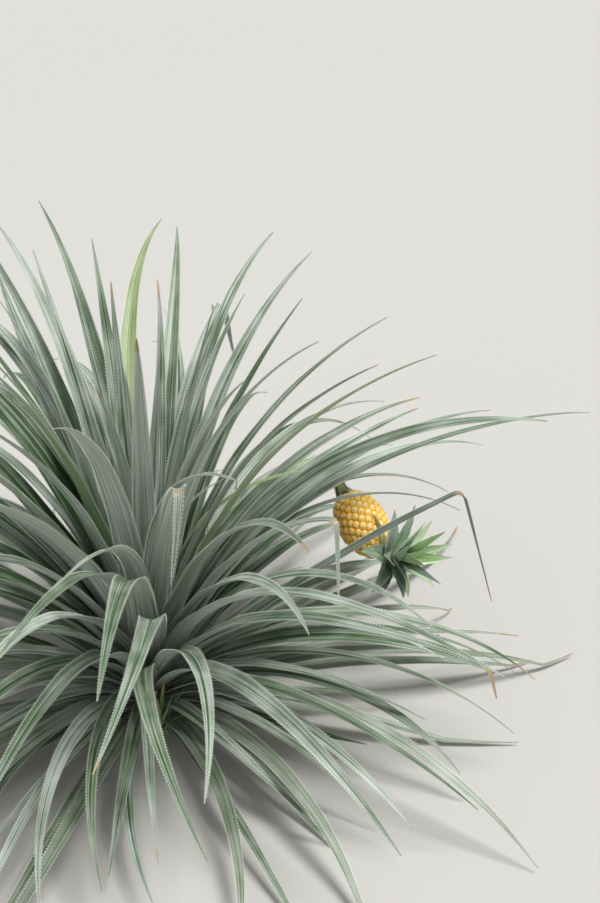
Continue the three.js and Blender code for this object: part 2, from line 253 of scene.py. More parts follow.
# %% The sizes of the plant, in millimetres
clear = 0.3
stem_profile = [(39, 0), (35, 10), (33, 40), (32, 80), (29, 116), (23, 148), (15, 174), (12, 180)]
stem_height = stem_profile[-1][1]
rosette = {"leaves": 44, "lowest": 36, "highest": 154, "first_azimuth": 318.5}
leaf_steps = 96
hanging = -74
channel_depth = 0.44
creases = {12: 0.74, 19: 0.8, 26: 0.84}
posed = {
    3: {"azimuth": 8, "launch": 41, "droop": 28, "length": 790, "width": 29, "drift": 2, "crease": 0.69},
    5: {"azimuth": 300, "launch": 50, "droop": 94, "length": 690, "drift": 6},
    8: {"azimuth": 338, "launch": 40, "droop": 60, "length": 620, "drift": 0, "crease": 0.9},
    10: {"azimuth": 259, "launch": 55, "droop": 96, "length": 720, "drift": -5},
    11: {"azimuth": 18, "launch": 66, "droop": 95, "length": 600, "width": 23, "drift": -8},
    16: {"azimuth": 348, "launch": 66, "droop": 88, "length": 860, "width": 36, "drift": 20},
    21: {"azimuth": 332, "launch": 66, "droop": 56, "length": 640, "drift": -14, "crease": 0.8},
}
skirt = {"fans": 6, "leaves_in_fan": 4, "first_azimuth": 20, "length": 660, "width": 32}
skirt_count = skirt["fans"] * skirt["leaves_in_fan"]
skirt_levels = [(6, 18, 46), (14, 28, 66), (23, 37, 84)]  # height, launch and droop
fruit_centre = np.array([346.0, 190.0, 222.0])
fruit_axis = np.array([0.506, -0.665, -0.552])
fruit_axis /= np.linalg.norm(fruit_axis)
crown_axis = np.array([0.66, -0.6, 0.45])
crown_axis /= np.linalg.norm(crown_axis)
crown_neck = 11
fruit_length = 118
fruit_radius = 44
runner = {"height": 8, "reach": 88, "azimuth": -76, "radius": 5}
print("the fruit is", fruit_length, "mm long and", 2 * fruit_radius, "mm across")


# %% Small helpers for numbers
def mix(a, b, t):
    return a + (b - a) * t


def ease(x, low, high):
    t = np.clip((x - low) / (high - low), 0, 1)
    return t * t * (3 - 2 * t)


def chance(leaf, use):
    """A draw from 0 to 1, the same in each run; use tells the draws of one leaf apart."""
    x = math.sin(leaf * 127.1 + use * 311.7) * 43758.5453
    return x - math.floor(x)


def sway(leaf, use, most):
    return most * (2 * chance(leaf, use) - 1)


def unit(rows):
    return rows / np.linalg.norm(rows, axis=-1, keepdims=True)


def dot(a, b):
    return (a * b).sum(-1, keepdims=True)


def stem_radius(height):
    return float(np.interp(height, [z for _, z in stem_profile], [r for r, _ in stem_profile]))


print("stem radius half way up:", round(stem_radius(90), 1), "mm")


# %% The numbers of one leaf of the rosette and one of the skirt
def rosette_leaf(k):
    age = k / (rosette["leaves"] - 1)
    height = mix(rosette["lowest"], rosette["highest"], age)
    leaf = {
        "key": k, "height": height, "foot": stem_radius(height), "crease": creases.get(k),
        "azimuth": rosette["first_azimuth"] + k * golden_angle + sway(k, 2, 4),
        "launch": 43 + 41 * age**0.8 + sway(k, 3, mix(2.4, 0.1, age)),
        "droop": (8 + 92 * (1 - age) ** 0.65) * (1 + sway(k, 4, mix(0.14, 0.02, age))),
        "length": (600 + 900 * age * (0.94 - age)) * (1 + sway(k, 1, 0.09)),
        "width": 35 + 13 * math.sin(math.pi * age**0.8) + sway(k, 5, 3),
        "power": mix(1.3, 1.9, age), "drift": sway(k, 6, 14), "roll": sway(k, 7, mix(32, 12, age)),
    }
    leaf.update(posed.get(k, {}))
    leaf["thickness"] = leaf["length"] / 100
    return leaf


def skirt_leaf(place):
    k = 100 + place
    height, launch, droop = skirt_levels[int(place) % len(skirt_levels)]
    azimuth = skirt["first_azimuth"] + 360 * (place + 0.5) / skirt_count
    length = skirt["length"] * (1 + sway(k, 1, 0.14))
    return {
        "key": k, "height": height, "foot": stem_radius(height), "crease": None,
        "azimuth": azimuth + sway(k, 2, 3), "drift": 14 * math.sin(2 * azimuth * degree + 1),
        "launch": launch + sway(k, 3, 1.5), "droop": droop + sway(k, 4, 6), "power": 1.05,
        "length": length, "width": skirt["width"] + sway(k, 5, 3), "thickness": length / 100,
        "roll": sway(k, 7, 12),
    }


print("outermost leaf:", round(rosette_leaf(0)["length"]), "mm long")


# %% The midline, and the width and roll along it
def half_width(leaf, u):
    return leaf["width"] / 2 * (0.7 + 0.3 * ease(u, 0, 0.1)) * (1 - 0.96 * u**1.75)


def roll_at(leaf, u):
    return leaf["roll"] * ease(u, 0.15, 0.9)


def foot_thickness(leaf):
    return min(3.5, leaf["thickness"])


def steepness(leaf, u):
    """How steeply the midline rises at share u of the leaf's length, in degrees."""
    arch = leaf["launch"] - leaf["droop"] * u ** leaf["power"]
    crease = leaf["crease"]
    return mix(arch, hanging, ease(u, crease, crease + 0.035)) if crease else arch


def follow_midline(leaf):
    """The leaf with the points of its midline, found by short steps outwards and upwards."""
    step = leaf["length"] / leaf_steps
    r = leaf["foot"] + 2.4 * clear + foot_thickness(leaf) * 0.5 * math.sin(leaf["launch"] * degree)
    z = leaf["height"]
    line = []
    for i in range(leaf_steps + 1):
        share = i / leaf_steps
        azimuth = (leaf["azimuth"] + leaf["drift"] * share * share) * degree
        line.append((r * math.cos(azimuth), r * math.sin(azimuth), z))
        u = share + 0.5 / leaf_steps
        e = steepness(leaf, u) * degree
        floor = 8 + half_width(leaf, u) * abs(math.sin(roll_at(leaf, u) * degree))
        r += math.cos(e) * step
        z += math.sin(e) * step
        if not leaf.get("aloft"):
            z = max(z, min(floor, leaf["height"]))
    return {**leaf, "line": np.array(line)}


print("leaf 20 is", round(2 * half_width(rosette_leaf(20), 0.5)), "mm wide at the middle of its length")


# %% Where a point of the leaf goes: u along it, across and through from -1 to 1
def line_at(leaf, steps):
    at = np.clip(steps, 0, leaf_steps)
    marks = np.arange(leaf_steps + 1)
    return np.stack([np.interp(at, marks, leaf["line"][:, i]) for i in range(3)], -1)


def frame_at(leaf, u):
    """The midline at u, the ways along, aside, up and outwards there, and how far it is from the axis."""
    at = np.asarray(u, float) * leaf_steps
    middle = line_at(leaf, at)
    along = unit(line_at(leaf, at + 1.5) - line_at(leaf, at - 1.5))
    radius = np.hypot(middle[..., 0], middle[..., 1])[..., None]
    outward = np.concatenate([middle[..., :2] / radius, np.zeros_like(radius)], -1)
    side = np.stack([-outward[..., 1], outward[..., 0], np.zeros(outward.shape[:-1])], -1)
    side = unit(side - along * dot(side, along))
    return middle, along, side, np.cross(along, side), outward, radius


def leaf_points(leaf, u, across, through):
    middle, _, side, up, outward, radius = frame_at(leaf, u)
    half = half_width(leaf, u)
    offset = across * half
    turn = np.clip(offset / radius[..., 0], -1.4, 1.4)
    sideways = radius[..., 0] * np.sin(turn)
    roll = roll_at(leaf, u) * degree
    soft = 0.16 * half
    gutter = np.sqrt(offset**2 + soft**2) - soft
    wave = 0.05 * half * across**2 * np.sin(u * 31 + leaf["key"]) * ease(u, 0.1, 0.3)
    channel = leaf.get("channel", channel_depth) * ease(u, 0.03, 0.25) * gutter + wave
    body = leaf.get("blade", 2.6) * (1 - 0.6 * u) * mix(1, 0.4, np.abs(across))
    lift = channel * np.cos(roll) + sideways * np.sin(roll) + 0.5 * through * body
    sideways = sideways * np.cos(roll) - channel * np.sin(roll)
    fall = radius[..., 0] * (1 - np.cos(turn))
    return middle + side * sideways[..., None] + up * lift[..., None] - outward * fall[..., None]


print("tip of leaf 20:", follow_midline(rosette_leaf(20))["line"][-1].round(), "mm")

# %% [markdown]
# ## Room for the fruit, its stalk and the side shoot
# In a real plant a leaf that meets the fruit slides off to one side of it. The solids were laid out in
# that way: a row of balls stands for whatever is in the way, and a leaf that meets one is turned aside
# in steps of four degrees until it is free, or is left out. The same search is made here again.


# %% The stalk's curve, through points with a chord-length knot rule
def on_fruit_axis(along):
    return fruit_centre + fruit_axis * along


def stalk_points():
    heading = np.array([math.cos(43 * degree), math.sin(43 * degree), 0])
    up = np.array([0, 0, 1])
    marks = [(18, 118), (50, 158), (110, 214), (190, 268)]
    end = on_fruit_axis(-fruit_length / 2 - clear)
    last = [end - 62 * fruit_axis + (-14, 0, -6), end - 26 * fruit_axis + (0, 4, 4), end]
    return [heading * r + up * z for r, z in marks] + last


def through_points(points, t):
    """The place at share t of a smooth curve through the points."""
    last = len(points) - 1
    i = min(int(t * last), last - 1)
    w = t * last - i
    p1, p2 = points[i], points[i + 1]
    p0 = points[i - 1] if i else 2 * p1 - p2
    p3 = points[i + 2] if i + 2 <= last else 2 * p2 - p1
    d0, d1, d2 = (np.linalg.norm(b - a) ** 0.5 for a, b in ((p0, p1), (p1, p2), (p2, p3)))
    t1 = ((p1 - p0) / d0 - (p2 - p0) / (d0 + d1) + (p2 - p1) / d1) * d1
    t2 = ((p2 - p1) / d1 - (p3 - p1) / (d1 + d2) + (p3 - p2) / d2) * d1
    a = p1 * 2 - p2 * 2 + t1 + t2
    b = -3 * p1 + 3 * p2 - 2 * t1 - t2
    return p1 + t1 * w + b * w**2 + a * w**3


def round_shoot(r, z):
    azimuth = runner["azimuth"] * degree
    return np.array([r * math.cos(azimuth), r * math.sin(azimuth), z])


# each ball is a middle and a radius: first the stalk, then the fruit, its crown and the side shoot
kept = [(through_points(stalk_points(), i / 24), 9.5) for i in range(25)]
kept += [(on_fruit_axis(along), fruit_radius + 2) for along in (-30, -10, 10, 30)]
crown_foot = on_fruit_axis(fruit_length / 2 + crown_neck)
kept += [(crown_foot + 40 * crown_axis, 80)]
shoot_balls = [(88, 88, 28), (88, 60, 17), (88, 38, 10), (88, 16, 6), (66, 8, 4), (50, 8, 4)]
kept += [(round_shoot(r, z), size) for r, z, size in shoot_balls]
print("balls in the way:", len(kept))


# %% Turn a leaf aside until it is free
def is_free(leaf, balls=kept, start=0):
    """Whether the leaf, with its width and its channel, keeps clear of every ball."""
    u = np.arange(start, leaf_steps + 1) / leaf_steps
    middle, along, side, up, _, _ = frame_at(leaf, u)
    half = half_width(leaf, u)
    spare = 4
    for centre, radius in balls:
        apart = centre - middle
        rise = dot(apart, up)[:, 0]
        near = (
            (np.abs(dot(apart, along)[:, 0]) < radius + spare)
            & (np.abs(dot(apart, side)[:, 0]) < radius + half)
            & (rise > -radius - spare)
            & (rise < radius + spare + channel_depth * half)
        )
        if near.any():
            return False
    return True


def both_ways(step, count):
    """0, then a step to one side and to the other, then two steps, and so on."""
    return [(1 if i % 2 else -1) * math.ceil(i / 2) * step for i in range(count + 1)]


def find_place(leaf, tries):
    for aside in both_ways(4, tries):
        tried = follow_midline({**leaf, "azimuth": leaf["azimuth"] + aside})
        if is_free(tried):
            return tried
    return None


skirt_leaves = {}
for place in range(skirt_count):
    found = find_place(skirt_leaf(place), 2)
    if found:
        skirt_leaves[place] = found
rosette_leaves = []
for k in range(rosette["leaves"]):
    numbers = rosette_leaf(k)
    found = follow_midline(numbers) if k in posed else find_place(numbers, 12)
    if found:
        rosette_leaves.append(found)
print("leaves in the skirt:", len(skirt_leaves), "and in the rosette:", len(rosette_leaves))

# %% [markdown]
# ## Leaves between the packed ones
# The real plant has more than twice as many leaves as the solids. The others grow between these by the
# same rule. Two blades must not cut through each other, so each new leaf is tried at a few places. Seen
# from the blade of a leaf that is already there, it has to stay above or below it all along. Only the feet
# of the leaves, packed tightly round the stem where nobody sees them, are left out of the test.


# %% Test whether one blade cuts through another
foot_steps = 14  # the part of a leaf, in steps, that is packed tightly round the stem


def side_points(leaf, count=44):
    """Points on both margins and on the middle of a leaf, beyond its packed foot."""
    u = np.repeat(np.linspace(foot_steps / leaf_steps, 1, count), 3)
    across = np.tile([-1.0, 0.0, 1.0], count)
    return leaf_points(leaf, u, across, 0 * u)


def surroundings(leaf):
    """A leaf's places, axes and half widths at every second step, for the test of crossing."""
    u = np.arange(0, leaf_steps + 1, 2) / leaf_steps
    middle, along, side, up, _, _ = frame_at(leaf, u)
    return middle, side, up, half_width(leaf, u)


def cuts_through(points, others, room=2.5, beyond=70):
    """Whether the points, three to a row across a new leaf, pass from above another leaf to below it."""
    for middle, side, up, half in others:
        apart = points[:, None, :] - middle[None, :, :]
        near = (apart**2).sum(-1).argmin(1)
        offset = points - middle[near]
        sideways = (offset * side[near]).sum(-1)
        rise = (offset * up[near]).sum(-1) - channel_depth * np.abs(sideways)
        over = (np.abs(sideways) < half[near] + room) & (np.abs(rise) < beyond)
        if (np.abs(rise[over]) < room).any():
            return True
        sign = np.where(over, np.sign(rise), 0).reshape(-1, 3)
        if (sign[1:] * sign[:-1] < 0).any() or (sign[:, 1:] * sign[:, :-1] < 0).any():
            return True
    return False


print("points tested on a new blade:", len(side_points(rosette_leaves[0])))


# %% Settle a leaf where it neither cuts through another nor hides the fruit
shown_balls = [(fruit_centre, 66), (crown_foot + 25 * crown_axis, 84)]  # the fruit and its crown


def hides_fruit(leaf):
    """Whether the leaf passes in front of the fruit or its crown, as the camera sees them."""
    eye = np.array(camera.location) / mm
    to_leaf = leaf["line"] - eye
    for middle, reach in shown_balls:
        to_fruit = middle - eye
        share = (to_leaf * to_fruit).sum(1) / (to_fruit**2).sum()
        aside = np.linalg.norm(to_leaf - share[:, None] * to_fruit, axis=1)
        if ((share < 1) & (aside < reach)).any():
            return True
    return False


def settle(leaf, others, turns, lifts, balls):
    """The first place, among small turns and lifts of a leaf, where it is free of everything."""
    for lift in lifts:
        for aside in turns:
            moved = {**leaf, "azimuth": leaf["azimuth"] + aside, "launch": leaf["launch"] + lift}
            tried = follow_midline(moved)
            if not is_free(tried, balls, foot_steps):
                continue
            if hides_fruit(tried) and not leaf.get("shown"):
                continue
            if not cuts_through(side_points(tried), others):
                return tried
    return None


taken = [surroundings(leaf) for leaf in rosette_leaves + list(skirt_leaves.values())]
print("blades in place before the new ones:", len(taken))


# %% Settle the leaves that the photo shows one by one
def between(numbers, key, shorter, narrower, **own):
    """The numbers of a leaf beside another: smaller, without its crease, and with some of its own."""
    leaf = {**numbers, "key": key, "crease": None}
    leaf["length"] *= shorter
    leaf["width"] *= narrower
    leaf["thickness"] = leaf["length"] / 100
    leaf.update(own)
    leaf["foot"] = stem_radius(leaf["height"])
    return leaf


def add_leaf(leaf, group, turns, lifts, balls=kept):
    found = settle(leaf, taken, turns, lifts, balls)
    if found:
        group.append(found)
        taken.append(surroundings(found))


# each set of leaves has keys of its own, which its draws come from
seen_columns = ("height", "azimuth", "launch", "droop", "power", "length", "width", "drift", "look")
seen_leaves = [
    (127, 15, 64, 68, 1.6, 590, 44, 7, "silver"),
    (139, 41, 58, 65, 1.1, 504, 22, -12, "turning"),
    (46, -20, 72, 99, 1.3, 625, 30, -10, "silver"),
    (46, 40, 35, 37, 1.7, 289, 15, -6, "green"),
    (144, 26, 60, 60, 1.2, 573, 42, 8, "silver"),
    (142, -10, 83, 94, 1.7, 430, 20, 9, "turning"),
    (135, 11, 64, 116, 1.4, 306, 20, 2, "turning"),
    (133, -19, 84, 90, 1.4, 414, 18, 2, "silver"),
    (143, 5, 88, 72, 1.8, 308, 16, -1, "silver"),
]
between_leaves = []
for place, row in enumerate(seen_leaves):
    own = dict(zip(seen_columns, row))
    leaf = between(rosette_leaf(20), 760 + place, 1, 1, roll=4, shown=True, **own)
    add_leaf(leaf, between_leaves, both_ways(2, 8), both_ways(2, 6))
print("leaves seen one by one beside the fruit:", len(between_leaves))

# %% Settle the other leaves between
front_levels = [(16, 12, 34), (30, 27, 62), (44, 42, 84)]  # height, launch and droop
for k in range(rosette["leaves"] - 1):  # half a step further on than each packed leaf
    leaf = between(rosette_leaf(k + 0.5), 500 + k, 0.92, 0.9)
    add_leaf(leaf, between_leaves, both_ways(5, 8), both_ways(3, 4))
for place in range(18):  # low ones all round the foot
    own = {"height": 28, "azimuth": 250 + place * golden_angle, "launch": 40}
    own["droop"] = mix(70, 96, chance(place, 25))
    leaf = between(rosette_leaf(0.3 * place), 800 + place, 0.9, 0.86, **own)
    add_leaf(leaf, between_leaves, both_ways(4, 6), both_ways(4, 3))
upper_balls = kept[: -len(shoot_balls)]  # without those of the side shoot
for place in range(26):  # those in front of the foot
    azimuth = -152 + 5.8 * place
    if abs(azimuth - runner["azimuth"]) < 9:
        continue
    own = dict(zip(("height", "launch", "droop"), front_levels[place % 3]))
    shorter = mix(0.55, 0.85, chance(place, 26))
    leaf = between(rosette_leaf(place % 4), 860 + place, shorter, 0.8, azimuth=azimuth, power=1.15, **own)
    add_leaf(leaf, between_leaves, both_ways(2.5, 4), both_ways(3, 3), upper_balls)
for k in range(4, 38):  # a second set
    leaf = between(rosette_leaf(k + 0.27), 900 + k, 0.86, 0.84)
    add_leaf(leaf, between_leaves, both_ways(6, 6), both_ways(4, 4))
for place in range(16):  # short ones beside the stalk
    share = chance(place, 27)
    own = {"height": mix(90, 150, share), "launch": mix(46, 74, share), "droop": mix(62, 50, share)}
    own.update(length=mix(330, 440, chance(place, 28)), power=1.4, drift=4, roll=6)
    leaf = between(rosette_leaf(12 + place), 940 + place, 1, 0.72, azimuth=-8 + 4.6 * place, **own)
    add_leaf(leaf, between_leaves, both_ways(3, 4), both_ways(4, 6))
print("leaves between in the rosette:", len(between_leaves))
between_skirt = []
for place in range(skirt_count):
    leaf = between(skirt_leaf(place + 0.5), 600 + place, 0.85, 0.9)
    add_leaf(leaf, between_skirt, both_ways(4, 4), (5, 10, 15))
print("leaves between in the skirt:", len(between_skirt))

# %% [markdown]
# ## A blade from a flat blank
# A curve with a bevel would lose the channel and the margins. Here a flat grid is given a wall, which makes
# one closed strip, and every point of it is carried to its place by the rule above. The strip is made once
# for each fineness. Its flat place is kept as a UV map, across and along, so that a finish can follow it.


# %% Make the flat blanks
def make_blank(name, panels_across, panels_along):
    strip = bmesh.new()
    bmesh.ops.create_grid(strip, x_segments=panels_across, y_segments=panels_along, size=1)
    bmesh.ops.solidify(strip, geom=strip.faces[:], thickness=2)
    low = min(v.co.z for v in strip.verts)
    bmesh.ops.translate(strip, verts=strip.verts, vec=(0, 0, -1 - low))
    bmesh.ops.recalc_face_normals(strip, faces=strip.faces)
    for edge in strip.edges:
        edge.smooth = edge.calc_face_angle(0) < 1
    for face in strip.faces:
        face.smooth = True
    mesh = mesh_from(strip, name)
    mesh.uv_layers.new(name="blade")
    return mesh


fine_blank = make_blank("fine_blank", 8, 96)
middle_blank = make_blank("middle_blank", 6, 72)
short_blank = make_blank("short_blank", 6, 20)
print("faces in a long leaf:", len(fine_blank.polygons), "and in a short one:", len(short_blank.polygons))


# %% Read and write a mesh's points as rows of numbers
def points_of(mesh):
    flat = np.empty(len(mesh.vertices) * 3)
    mesh.vertices.foreach_get("co", flat)
    return flat.reshape(-1, 3)


def put_points(mesh, points):
    mesh.vertices.foreach_set("co", np.asarray(points, float).ravel())
    mesh.update()


def put_uv(mesh, layer, rows_by_vertex):
    corner = np.empty(len(mesh.loops), int)
    mesh.loops.foreach_get("vertex_index", corner)
    mesh.uv_layers[layer].data.foreach_set("uv", rows_by_vertex[corner].astype(float).ravel())


def put_values(mesh, **attributes):
    for name, values in attributes.items():
        layer = mesh.attributes.get(name) or mesh.attributes.new(name, "FLOAT", "POINT")
        layer.data.foreach_set("value", np.asarray(values, float))


def on_all_faces(mesh, operator):
    shell = bmesh.new()
    shell.from_mesh(mesh)
    operator(shell, faces=shell.faces)
    shell.to_mesh(mesh)
    shell.free()


print("points in a short leaf:", len(points_of(short_blank)))


# %% Bend a blank into a leaf
broken = {8}  # leaves whose ends have dried beyond their crease


def dryness(leaf, u):
    """From 0, fresh, to 1, dried: at the tip, and where a leaf has creased."""
    start = leaf.get("dry_from", 0.988 - leaf.get("dries", 0.07) * chance(leaf["key"], 23) ** 2)
    dry = ease(u, start, start + 0.05)
    if leaf["crease"]:
        dry = np.maximum(dry, 0.62 * np.exp(-(((u - leaf["crease"] - 0.016) / 0.014) ** 2)))
    if leaf["key"] in broken:
        dry = np.maximum(dry, 0.9 * ease(u, leaf["crease"], leaf["crease"] + 0.03))
    return dry


def bend_blade(name, leaf, blank):
    mesh = blank.copy()
    mesh.name = name
    flat = points_of(mesh)
    across, u, through = flat[:, 0], np.clip((flat[:, 1] + 1) / 2, 0, 1), flat[:, 2]
    put_points(mesh, leaf_points(leaf, u, across, through) * mm)
    put_uv(mesh, "blade", np.stack([(across + 1) / 2, u], 1))
    put_values(mesh, under=through < 0, dry=dryness(leaf, u), tooth=0 * u)
    on_all_faces(mesh, bmesh.ops.reverse_faces)
    return mesh


trial = bend_blade("trial", rosette_leaves[20], fine_blank)
print("leaf 21 spans", (points_of(trial).max(0) - points_of(trial).min(0)).round(3), "m")
bpy.data.meshes.remove(trial)

# %% [markdown]
# ## Teeth on the margins
# Each margin carries small hooked teeth that point towards the tip, four or five millimetres apart. To cut
# them out of the blade would take thousands of faces on every leaf. Each tooth is instead a four-sided
# cone, sunk a little into the margin, made once with an operator and then repeated.


# %% Repeat a small shape many times in one mesh
def repeat_shape(name, shape, middles, x_axes, y_axes, z_axes):
    """Copies of a shape in one mesh, each with a middle and three axes of its own."""
    points = points_of(shape)
    placed = (
        middles[:, None, :]
        + points[None, :, 0:1] * x_axes[:, None, :]
        + points[None, :, 1:2] * y_axes[:, None, :]
        + points[None, :, 2:3] * z_axes[:, None, :]
    )
    faces = []
    for copy in range(len(middles)):
        first = copy * len(points)
        faces += [[first + v for v in face.vertices] for face in shape.polygons]
    mesh = bpy.data.meshes.new(name)
    mesh.from_pydata(placed.reshape(-1, 3).tolist(), [], faces)
    mesh.update()
    return mesh


def make_tooth():
    cone = bmesh.new()
    bmesh.ops.create_cone(cone, cap_ends=False, cap_tris=False, segments=4, radius1=0.7, radius2=0, depth=1)
    bmesh.ops.translate(cone, verts=cone.verts, vec=(0, 0, 0.5))
    bmesh.ops.rotate(cone, verts=cone.verts, cent=(0, 0, 0), matrix=Matrix.Rotation(math.pi / 4, 3, "Z"))
    return mesh_from(cone, "tooth")


tooth = make_tooth()
print("faces in a tooth:", len(tooth.polygons))


# %% Set the teeth along both margins of a leaf
first_tooth, last_tooth = 0.08, 0.985  # as shares of the leaf's length


def set_teeth(name, leaf, spacing, height):
    """The teeth of both margins as one mesh, smaller near the leaf's foot and its tip."""
    count = int(leaf["length"] * (last_tooth - first_tooth) / spacing)
    u = np.tile(np.linspace(first_tooth, last_tooth, count), 2)
    edge = np.repeat([-1.0, 1.0], count)
    at_margin = leaf_points(leaf, u, edge, 0 * u)
    inside = leaf_points(leaf, u, 0.8 * edge, 0 * u)
    ahead = leaf_points(leaf, np.minimum(u + 0.01, 1), edge, 0 * u)
    out = unit(at_margin - inside)
    along = unit(ahead - at_margin)
    thick = unit(np.cross(along, out))
    grown = (height * (0.55 + 0.45 * ease(u, first_tooth, 0.3)) * (1 - 0.45 * ease(u, 0.7, 1)))[:, None]
    hooked = unit(out + 0.75 * along)
    roots = at_margin - 0.35 * out
    mesh = repeat_shape(name, tooth, roots, along * (0.8 * grown), thick * 0.7, hooked * (grown + 0.35))
    mesh.transform(Matrix.Scale(mm, 4))
    size = len(tooth.vertices)
    mesh.uv_layers.new(name="blade")
    put_uv(mesh, "blade", np.repeat(np.stack([(edge + 1) / 2, u], 1), size, axis=0))
    dry = np.repeat(dryness(leaf, u), size)
    put_values(mesh, under=0 * dry, dry=dry, tooth=0 * dry + 1)
    on_all_faces(mesh, bmesh.ops.recalc_face_normals)
    return mesh


trial = set_teeth("trial", rosette_leaves[20], 4.8, 3.1)
print("teeth on leaf 21:", len(trial.polygons) // len(tooth.polygons))
bpy.data.meshes.remove(trial)


# %% Join meshes, and give the result its place in the plant
def join(name, meshes):
    whole = bmesh.new()
    for mesh in meshes:
        whole.from_mesh(mesh)
        bpy.data.meshes.remove(mesh)
    return mesh_from(whole, name)


def place_piece(mesh, finish, slot, *nodes):
    piece = put_in_scene(mesh.name, mesh)
    mesh.materials.append(finish.material)
    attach(piece, "root")
    if nodes:
        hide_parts(*nodes)


# %% [markdown]
# ## The finish of a leaf
# A pineapple leaf is dark green under a coat of tiny silver scales. The scales lie in fine lines along the
# leaf, thick on the underside and rubbed thin on the upper side, where a greener band follows the channel.
# The margin is a pale line, the tip dries to tan, and leaves differ in how much silver they carry.
# All of this follows the leaf, so it is drawn on the UV map: narrow noise across, long noise along.


# %% Mix a leaf finish
def leaf_finish(name, green, silver, under, coat, band, dried="#c0ab82"):
    f = Finish(name, Sheen_Weight=0.12, Sheen_Roughness=0.4)
    across, along, _ = f.parts(f.node("ShaderNodeUVMap", {"uv_map": "blade"}))
    tone, dry = f.attribute("tone"), f.attribute("dry")
    off_middle = abs(across * 2 - 1)
    fine = f.noise(f.vector(across * 40, along * 3, tone * 9), 1.0, 3.0, 0.6)
    lines = f.noise(f.vector(across * 14, along * 2.4, tone * 31), 1.0, 3.0, 0.6)
    streaks = f.noise(f.vector(across * 4.5, along * 3.5, tone * 17), 1.0, 2.0)
    cloud = f.noise(f.place(), 13.0, 3.0)
    middle = (1 - off_middle.step(0.06, 0.42)) * streaks.step(0.34, 0.58)
    flank = off_middle.step(0.4, 0.66) * (1 - off_middle.step(0.8, 0.96)) * lines.step(0.44, 0.58)
    scales = coat + (fine - 0.5) * 1.4 + (lines - 0.5) * 2.2 + (cloud - 0.5) * 1.1 - middle * band
    silvered = (scales - flank * 0.5 - (tone - 0.5) * 0.35).held()
    upper = f.blend(silvered, green, silver)
    lower = f.blend((0.66 + (fine - 0.5) * 1.4 + (lines - 0.5) * 2.0).held(), green, under)
    blade = f.blend(f.attribute("under"), upper, lower)
    edged = f.blend(off_middle.step(0.95, 0.995) * 0.14, blade, "#d2d6c6")
    toothed = f.blend(f.attribute("tooth") * 0.7, edged, "#dcdccb")
    drying = (dry + (lines - 0.5) * 0.7).step(0.32, 0.72) * dry.step(0.02, 0.2)
    tipped = f.blend(drying, toothed, f.blend(fine, dried, "#8b7152"))
    pale = f.blend((1 - along.step(0.02, 0.14)) * 0.5, tipped, "#c9ceb8")
    f.paint(Base_Color=pale, Roughness=0.3 + silvered * 0.2)
    f.relief(lines * 0.6 + fine * 0.4, 0.45, 0.0014)
    return f


# the leaf's green, its silver above and below, how much silver, the rubbed band, and a dried tip of its own
leaf_skins = {
    "silver_leaf": ("#3f5c34", "#d0d7d0", "#d5dad5", 0.57, 0.56),
    "green_leaf": ("#2f4f25", "#b4c0ae", "#c2cbc0", 0.4, 0.52),
    "shaded_leaf": ("#35482f", "#8f9991", "#abb3ac", 0.46, 0.5),
    "fresh_leaf": ("#3a6826", "#8fae76", "#acc09c", 0.32, 0.3),
    "turning_leaf": ("#60793c", "#b3be92", "#bcc4a4", 0.45, 0.3, "#c9a98c"),
    "old_leaf": ("#54664a", "#b8beb2", "#c2c7be", 0.57, 0.35, "#b39c78"),
    # crown copies: lit green is painted light, shaded dark is painted shade
    "crown_lit_green": ("#7ab34e", "#e4f2d4", "#cbe0ba", 0.76, 0.15),
    "crown_shaded_dark": ("#3d5a35", "#98a29b", "#a6aea7", 0.46, 0.3),
    "crown_silver": ("#5a9049", "#ccd6cb", "#ced5cc", 0.66, 0.25),
    "shoot_green": ("#7b9a47", "#bccb90", "#b9c79c", 0.5, 0.2),
    "collar_green": ("#a3a866", "#dedbb0", "#d8d8b8", 0.55, 0.2, "#b27a62"),
    "dry_leaf": ("#7f8a56", "#dfe0b4", "#d6d8b6", 0.52, 0.2, "#6e645c"),
}
skins = {name: leaf_finish(name, *numbers) for name, numbers in leaf_skins.items()}
print("leaf finishes:", list(skins))

# %% [markdown]
# ## The rosette
# Every leaf is its own piece.
# A leaf whose solid was packed in two parts, at a wide bend or at a crease, is one blade here.


# %% Grow the rosette's leaves
looks_by_key = {3: "shaded", 11: "shaded", 14: "fresh", 36: "fresh", 22: "turning", 29: "turning"}
looks_by_key.update({35: "green", 5: "silver", 8: "silver", 10: "silver", 16: "silver", 21: "silver"})


def skin_for(leaf):
    """The look that the photo gives a leaf, or else silver with a green one now and then."""
    by_chance = "green" if chance(leaf["key"], 21) < 0.34 else "silver"
    return leaf.get("look", looks_by_key.get(leaf["key"], by_chance)) + "_leaf"


def grow_leaf(name, leaf, skin, slot, nodes=(), blank=fine_blank, teeth=(4.8, 3.1), place=None):
    """One leaf with its teeth; the two numbers are how far apart and how high they are."""
    blade = bend_blade(name + "_blade", leaf, blank)
    mesh = join(name, [blade, set_teeth(name + "_teeth", leaf, *teeth)])
    if place:
        mesh.transform(place)
    put_values(mesh, tone=np.full(len(mesh.vertices), chance(leaf["key"], 22)))
    place_piece(mesh, skins[skin], slot, *nodes)


for number, leaf in enumerate(rosette_leaves, 1):
    name = f"leaf_{number:02d}"
    nodes = [n for n in (name, name + "_end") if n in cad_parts]
    grow_leaf(name + "_blade", leaf, skin_for(leaf), "leaf", nodes)
print("rosette leaves grown:", len(rosette_leaves))
for number, leaf in enumerate(between_leaves, 1):
    grow_leaf(f"between_leaf_{number:02d}", leaf, skin_for(leaf), "leaf", (), middle_blank)
print("leaves between grown:", len(between_leaves))

